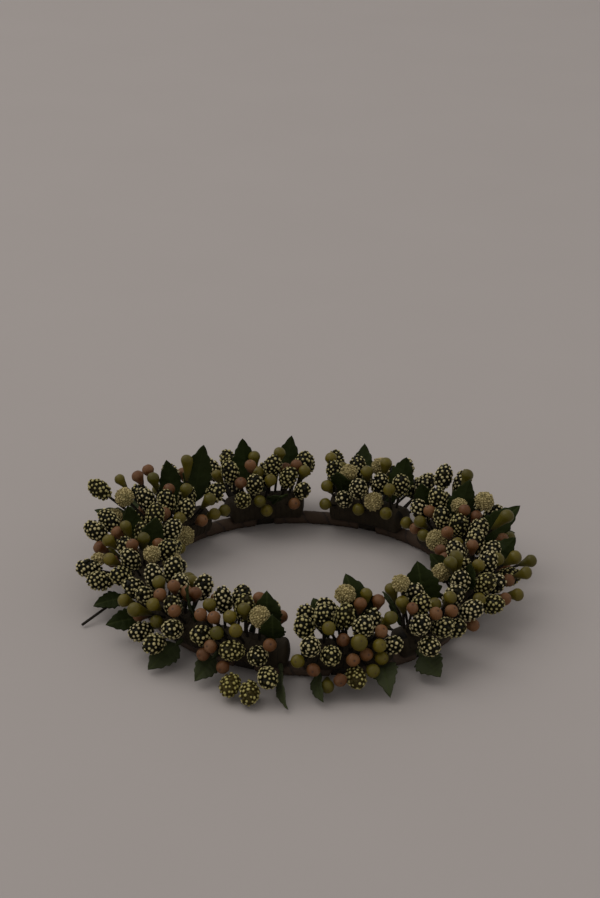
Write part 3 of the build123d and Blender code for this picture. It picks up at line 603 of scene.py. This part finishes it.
def set_with(seed_points, seed_faces, places, outward, sizes):
    """Copies of one small shape, stood on end at every place."""
    helper = np.where(np.abs(outward[:, 2:]) < NEARLY_UPRIGHT, [[0.0, 0.0, 1.0]], [[1.0, 0.0, 0.0]])
    side = np.cross(helper, outward)
    side /= np.linalg.norm(side, axis=1)[:, None]
    other = np.cross(outward, side)
    shapes = seed_points[None] * sizes[:, None, None]
    points = (places[:, None] + shapes[..., :1] * side[:, None] + shapes[..., 1:2] * other[:, None]
              + shapes[..., 2:] * outward[:, None])
    faces = []
    for number in range(len(places)):
        start = number * len(seed_points)
        faces += [tuple(corner + start for corner in face) for face in seed_faces]
    return points.reshape(-1, 3), faces


def round_profile(rings_deg):
    """Radius and height of a ball of radius one, at the given angles from its top."""
    return [(math.sin(math.radians(angle)), math.cos(math.radians(angle))) for angle in rings_deg]


def oval_core(radius, half, rings):
    """Points and faces of a plain oval that stands along Z."""
    polar = np.radians(np.linspace(0, 180, rings))
    profile = [(radius * math.sin(angle), half * math.cos(angle)) for angle in polar]
    return spun_mesh(profile, CORE_SIDES)


bead_points, bead_faces = spun_mesh(round_profile(BEAD_RINGS_DEG), BEAD_SIDES)
bead_tip = np.concatenate([[BEAD_TIP_MARKS[0]], np.repeat(BEAD_TIP_MARKS[1:-1], BEAD_SIDES),
                           [BEAD_TIP_MARKS[-1]]])


def pod_mesh(length, width, ripeness, dice):
    """One pod standing along Z: its dark core and its beads, with marks for tips, tone and ripeness."""
    radius = width / 2 - BEAD_RADIUS
    half = length / 2 - BEAD_RADIUS
    core_points, core_faces = oval_core(radius - BEAD_SUNK, half - BEAD_SUNK, POD_CORE_RINGS)
    lowest = math.radians(BEADS_DOWN_TO_DEG)
    places, outward = spiral_on_oval(radius, half, BEAD_SPACING, lowest, dice)
    shift = dice.normal(0, BEAD_SHIFT, places.shape)
    places = places + shift - outward * (shift * outward).sum(axis=1)[:, None]
    sizes = BEAD_RADIUS * dice.uniform(*BEAD_SIZES, len(places))
    points, faces = set_with(bead_points, bead_faces, places, outward, sizes)
    cream = dice.uniform(*CREAM_RANGE, len(places)) * (dice.random(len(places)) > BARE_BEADS)
    tone = dice.random(len(places))
    marks = {
        "cream": (bead_tip[None] * cream[:, None]).ravel(),
        "tone": np.repeat(tone, len(bead_points)),
        "ripe": np.full(len(points), ripeness),
    }
    core_marks = {
        "cream": np.zeros(len(core_points)),
        "tone": np.zeros(len(core_points)),
        "ripe": np.full(len(core_points), ripeness),
    }
    return gather([(core_points, core_faces, core_marks), (points, faces, marks)])


beads = Finish("dotted_beads", 0.5)
beads.shader.inputs["Specular IOR Level"].default_value = 0.16
bead_patches, bead_grain = beads.mottle(700.0, 4.0)
bead_side = beads.blend(beads.mark("tone"), (0.004, 0.004, 0.0005), (0.026, 0.023, 0.002))
bead_side = beads.blend(beads.spread(beads.mark("ripe"), 0.55, 1.0), bead_side, (0.060, 0.046, 0.008))
bead_cap = beads.blend(beads.mark("ripe"), (0.70, 0.62, 0.36), (0.42, 0.38, 0.11))
bead_cap = beads.blend(beads.spread(bead_patches, 0.35, 0.75, 0.0, 0.5), bead_cap, (0.32, 0.29, 0.11))
beads.colour(beads.blend(beads.spread(beads.mark("cream"), 0.12, 0.78), bead_side, bead_cap))
beads.relief(bead_grain, 0.00005)
pod_dice = np.random.default_rng(POD_SEED)
for sprig, hinge in hinges.items():
    pods = []
    for spots in separate_solids(sprig + "_pods"):
        centre, axis, length, width = berry_frame(spots, hinge)
        ripeness = pod_dice.uniform(*RIPENESS)
        if centre[2] < RIPE_BELOW:
            ripeness = pod_dice.uniform(*LOW_RIPENESS)
        pod_points, pod_faces, pod_marks = pod_mesh(length, width, ripeness, pod_dice)
        pods.append((centre + pod_points @ standing_axes(axis), pod_faces, pod_marks))
    pod_points, pod_faces, pod_marks = gather(pods)
    beaded = build_piece(sprig + "_beaded_pods", pod_points, pod_faces, beads.material, pod_marks)
    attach(beaded, sprig + "_sprig")
    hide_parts(sprig + "_pods")


# Green buds: smooth olive drops of satin plastic on a narrow neck, with a tiny brown scar at the crown.
# The long ones are bean shaped, with a groove down one side.

BUD_SIDES = 20
BUD_RINGS = 22
BUD_NECK = 0.00045
BUD_BOW = 0.05
BEAN_RATIO = 1.75
GROOVE_DEPTH = 0.00028
GROOVE_WIDTH = 0.3
BUD_SCAR_RADIUS = 0.00038
BUD_SCAR_DEPTH = 0.00012
CROWN_FROM = 0.8
SHOULDER_DROP = 0.15
SHOULDER_WIDTH = 0.9887
NECK_CURVE = 1.35
NECK_HOLLOW = 0.22
BUD_SEED = 31


def drop_profile(length, width, neck, rings):
    """Radius and height down a drop: a round head that runs into a thin neck."""
    head = width / 2
    centre = length / 2 - head
    profile = []
    for number in range(rings + 1):
        share = number / rings
        height = length / 2 - length * (1 - math.cos(math.pi * share)) / 2
        above = height - centre
        if above > -SHOULDER_DROP * head:
            radius = math.sqrt(max(head ** 2 - above ** 2, 0.0))
        else:
            drop = (-SHOULDER_DROP * head - above) / (centre + length / 2 - SHOULDER_DROP * head)
            drop = min(max(drop, 0.0), 1.0)
            taper = (1 - drop ** NECK_CURVE) * (1 - NECK_HOLLOW * math.sin(math.pi * drop))
            radius = neck + (SHOULDER_WIDTH * head - neck) * taper
        profile.append((radius, height))
    profile[-1] = (neck * 0.8, -length / 2)
    profile.append((0.0, -length / 2))
    profile[0] = (0.0, length / 2)
    return profile


def bud_mesh(length, width, dice):
    """One bud standing along Z, bent a little, with marks for its crown, its neck (where painted shade
    goes) and its tone.
    """
    profile = drop_profile(length, width, BUD_NECK, BUD_RINGS)
    points, faces = spun_mesh(profile, BUD_SIDES)
    share = (points[:, 2] + length / 2) / length
    turn = np.arctan2(points[:, 1], points[:, 0])
    if length / width > BEAN_RATIO:
        seam = (turn - dice.uniform(-np.pi, np.pi) + np.pi) % (2 * np.pi) - np.pi
        groove = GROOVE_DEPTH * np.exp(-(seam / GROOVE_WIDTH) ** 2) * np.sin(np.pi * share.clip(0, 1))
        beside = np.hypot(points[:, 0], points[:, 1])
        points[:, :2] *= ((beside - groove) / np.maximum(beside, 1e-6))[:, None]
    lean = dice.uniform(-np.pi, np.pi)
    bow = dice.uniform(0.2, 0.9) * BUD_BOW * length * (share * (1 - share) * 4 - 0.5)
    points[:, 0] += bow * math.cos(lean)
    points[:, 1] += bow * math.sin(lean)
    beside = np.hypot(points[:, 0], points[:, 1])
    crown = np.exp(-(beside / BUD_SCAR_RADIUS) ** 2) * (share > CROWN_FROM)
    points[:, 2] -= BUD_SCAR_DEPTH * crown
    tone = np.full(len(points), dice.random())
    return points, faces, {"crown": crown, "neck": np.clip(1 - share, 0, 1), "tone": tone}


def standing_pieces(node, hinge, make_mesh, dice):
    """One mesh of all the berries in a CAD node, each made along Z and stood in its own place."""
    pieces = []
    for spots in separate_solids(node):
        centre, axis, length, width = berry_frame(spots, hinge)
        points, faces, marks = make_mesh(length, width, dice)
        pieces.append((centre + points @ standing_axes(axis), faces, marks))
    return gather(pieces)


bud_skin = Finish("olive_skin", 0.42)
bud_skin.shader.inputs["Specular IOR Level"].default_value = 0.28
bud_patches, bud_grain = bud_skin.mottle(260.0, 9.0)
bud_ground = bud_skin.blend(bud_skin.mark("tone"), (0.074, 0.066, 0.004), (0.145, 0.112, 0.009))
bud_shade = bud_skin.spread(bud_patches, 0.4, 0.7, 0.0, 0.55)
bud_ground = bud_skin.blend(bud_shade, bud_ground, (0.065, 0.052, 0.005))
# Painted shade: the lower head and the neck are painted darker, more towards the base, where shade falls
# under the head.
bud_neck_shade = bud_skin.spread(bud_skin.mark("neck"), 0.45, 0.95, 0.0, 0.75)
bud_ground = bud_skin.blend(bud_neck_shade, bud_ground, (0.050, 0.045, 0.014))
bud_scars = bud_skin.spread(bud_skin.mark("crown"), 0.2, 0.9, 0.0, 0.8)
bud_skin.colour(bud_skin.blend(bud_scars, bud_ground, (0.060, 0.034, 0.014)))
bud_skin.roughness(bud_skin.spread(bud_patches, 0.3, 0.7, 0.34, 0.5))
bud_skin.relief(bud_grain, 0.00004)
bud_dice = np.random.default_rng(BUD_SEED)
for sprig, hinge in hinges.items():
    buds = standing_pieces(sprig + "_green_buds", hinge, bud_mesh, bud_dice)
    bud_points, bud_faces, bud_marks = buds
    olive = build_piece(sprig + "_olive_buds", bud_points, bud_faces, bud_skin.material, bud_marks)
    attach(olive, sprig + "_sprig")
    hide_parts(sprig + "_green_buds")


# Brown berries: round dusty rose-brown heads on a short neck, softer in their shine than the buds.
# The crown is drawn in to a small dark eye.

BERRY_NECK = 0.00055
BERRY_EYE_RADIUS = 0.00045
BERRY_EYE_DEPTH = 0.00022
BERRY_UNEVEN = 0.025
BERRY_SEED = 47


def berry_mesh(length, width, dice):
    """One berry standing along Z, a little uneven, with marks for its eye, its neck (where painted shade
    goes) and its tone.
    """
    profile = drop_profile(length, width, BERRY_NECK, BUD_RINGS)
    points, faces = spun_mesh(profile, BUD_SIDES)
    share = (points[:, 2] + length / 2) / length
    turn = np.arctan2(points[:, 1], points[:, 0])
    points[:, :2] *= (1 + BERRY_UNEVEN * np.sin(2 * turn + dice.uniform(-np.pi, np.pi)))[:, None]
    beside = np.hypot(points[:, 0], points[:, 1])
    eye = np.exp(-(beside / BERRY_EYE_RADIUS) ** 2) * (share > CROWN_FROM)
    points[:, 2] -= BERRY_EYE_DEPTH * eye
    tone = np.full(len(points), dice.random())
    return points, faces, {"crown": eye, "neck": np.clip(1 - share, 0, 1), "tone": tone}


berry_skin = Finish("dusty_skin", 0.55)
berry_skin.shader.inputs["Specular IOR Level"].default_value = 0.35
berry_patches, berry_grain = berry_skin.mottle(330.0, 8.0)
berry_ground = berry_skin.blend(berry_skin.mark("tone"), (0.108, 0.038, 0.009), (0.176, 0.074, 0.021))
berry_dust = berry_skin.spread(berry_patches, 0.45, 0.7, 0.0, 0.6)
berry_ground = berry_skin.blend(berry_dust, berry_ground, (0.215, 0.118, 0.058))
# Painted shade: the lower head and the neck are painted darker, more towards the base, where shade falls
# under the head.
berry_neck_shade = berry_skin.spread(berry_skin.mark("neck"), 0.5, 0.95, 0.0, 0.7)
berry_ground = berry_skin.blend(berry_neck_shade, berry_ground, (0.060, 0.026, 0.016))
berry_eyes = berry_skin.spread(berry_skin.mark("crown"), 0.25, 0.9, 0.0, 0.85)
berry_skin.colour(berry_skin.blend(berry_eyes, berry_ground, (0.045, 0.020, 0.012)))
berry_skin.roughness(berry_skin.spread(berry_patches, 0.3, 0.7, 0.46, 0.66))
berry_skin.relief(berry_grain, 0.00005)
berry_dice = np.random.default_rng(BERRY_SEED)
for sprig, hinge in hinges.items():
    if sprig + "_brown_berries" in frame["nodes"]:
        berries = standing_pieces(sprig + "_brown_berries", hinge, berry_mesh, berry_dice)
        berry_points, berry_faces, berry_marks = berries
        dusty = build_piece(sprig + "_dusty_berries", berry_points, berry_faces, berry_skin.material,
                            berry_marks)
        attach(dusty, sprig + "_sprig")
        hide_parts(sprig + "_brown_berries")


# Sugared balls: round or oval heads coated with coarse khaki grains, dull and pale.
# The grains are glued on close together and differ in size.

GRAIN_RADIUS = 0.00042
GRAIN_SPACING = 0.00074
GRAIN_SHOWN = 0.8
GRAIN_SHIFT = 0.00012
GRAIN_SIZES = (0.6, 1.15)
GRAIN_SIDES = 6
GRAIN_RINGS_DEG = (0, 40, 85, 180)
GRAINS_DOWN_TO_DEG = 168
BALL_CORE_RINGS = 13
BALL_SEED = 59

grain_points, grain_faces = spun_mesh(round_profile(GRAIN_RINGS_DEG), GRAIN_SIDES)


def ball_mesh(length, width, dice):
    """One ball standing along Z: its core and its grains, with a tone for every grain."""
    radius = width / 2 - GRAIN_RADIUS * GRAIN_SHOWN
    half = length / 2 - GRAIN_RADIUS * GRAIN_SHOWN
    core_points, core_faces = oval_core(radius, half, BALL_CORE_RINGS)
    lowest = math.radians(GRAINS_DOWN_TO_DEG)
    places, outward = spiral_on_oval(radius, half, GRAIN_SPACING, lowest, dice)
    sizes = GRAIN_RADIUS * dice.uniform(*GRAIN_SIZES, len(places))
    places = places + dice.normal(0, GRAIN_SHIFT, places.shape)
    points, faces = set_with(grain_points, grain_faces, places, outward, sizes)
    tone = np.repeat(dice.random(len(places)), len(grain_points))
    core_tone = np.zeros(len(core_points))
    return gather([(core_points, core_faces, {"tone": core_tone}), (points, faces, {"tone": tone})])


sugar = Finish("sugar_grains", 0.7)
sugar_patches, sugar_grain = sugar.mottle(240.0, 10.0)
sugar_ground = sugar.blend(sugar.mark("tone"), (0.215, 0.170, 0.058), (0.590, 0.490, 0.225))
sugar_shade = sugar.spread(sugar_patches, 0.42, 0.72, 0.0, 0.5)
sugar.colour(sugar.blend(sugar_shade, sugar_ground, (0.230, 0.205, 0.075)))
sugar.relief(sugar_grain, 0.00006)
ball_dice = np.random.default_rng(BALL_SEED)
for sprig, hinge in hinges.items():
    if sprig + "_sugared_balls" in frame["nodes"]:
        balls = standing_pieces(sprig + "_sugared_balls", hinge, ball_mesh, ball_dice)
        ball_points, ball_faces, ball_marks = balls
        grainy = build_piece(sprig + "_grainy_balls", ball_points, ball_faces, sugar.material, ball_marks)
        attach(grainy, sprig + "_sprig")
        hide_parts(sprig + "_sugared_balls")


# Studio: a plain pale floor, one broad soft light high on the left, and dim light from all round.
# The camera looks down on the front of the ring as in the photograph.

FLOOR_HALF = 3.0
LIGHT_PLACE = (-1.2, 0.35, 2.0)
LIGHT_SIZE = 2.2
LIGHT_WATTS = 17.4
LIGHT_COLOUR = (1.0, 0.95, 0.90)
SKY_COLOUR = (1.0, 0.95, 0.91, 1.0)
SKY_STRENGTH = 0.43
LENS_MM = 84.2
CAMERA_PLACE = (0.0, -0.624, 0.332)
CAMERA_TURN_DEG = 0.32
CAMERA_DOWN_DEG = 24.1
CAMERA_ROLL_DEG = 1.8

floor_corners = np.array([[-FLOOR_HALF, -FLOOR_HALF, 0.0], [FLOOR_HALF, -FLOOR_HALF, 0.0],
                          [FLOOR_HALF, FLOOR_HALF, 0.0], [-FLOOR_HALF, FLOOR_HALF, 0.0]])
pale_floor = Finish("pale_floor", 0.8)
floor_patches = pale_floor.mottle(14.0, 40.0)[0]
pale_floor.colour(pale_floor.blend(floor_patches, (0.445, 0.415, 0.405), (0.465, 0.435, 0.425)))
floor = build_piece("floor", floor_corners, [(0, 1, 2, 3)], pale_floor.material, {})

lamp = bpy.data.lights.new("broad_light", "AREA")
lamp.size = LIGHT_SIZE
lamp.energy = LIGHT_WATTS
lamp.color = LIGHT_COLOUR
broad_light = bpy.data.objects.new("broad_light", lamp)
broad_light.location = LIGHT_PLACE
toward_ring = -broad_light.location
broad_light.rotation_euler = toward_ring.to_track_quat("-Z", "Y").to_euler()
bpy.context.scene.collection.objects.link(broad_light)
world = bpy.data.worlds.new("studio")
world.use_nodes = True
world.node_tree.nodes["Background"].inputs["Color"].default_value = SKY_COLOUR
world.node_tree.nodes["Background"].inputs["Strength"].default_value = SKY_STRENGTH
bpy.context.scene.world = world
bpy.context.scene.view_settings.view_transform = "Standard"

lens = bpy.data.cameras.new("camera")
lens.lens = LENS_MM
lens.clip_start = 0.02
camera = bpy.data.objects.new("camera", lens)
camera.location = CAMERA_PLACE
aim = Matrix.Rotation(math.radians(CAMERA_TURN_DEG), 3, "Z")
aim = aim @ Matrix.Rotation(math.radians(90 - CAMERA_DOWN_DEG), 3, "X")
camera.rotation_euler = (aim @ Matrix.Rotation(math.radians(CAMERA_ROLL_DEG), 3, "Z")).to_euler()
bpy.context.scene.collection.objects.link(camera)
bpy.context.scene.camera = camera
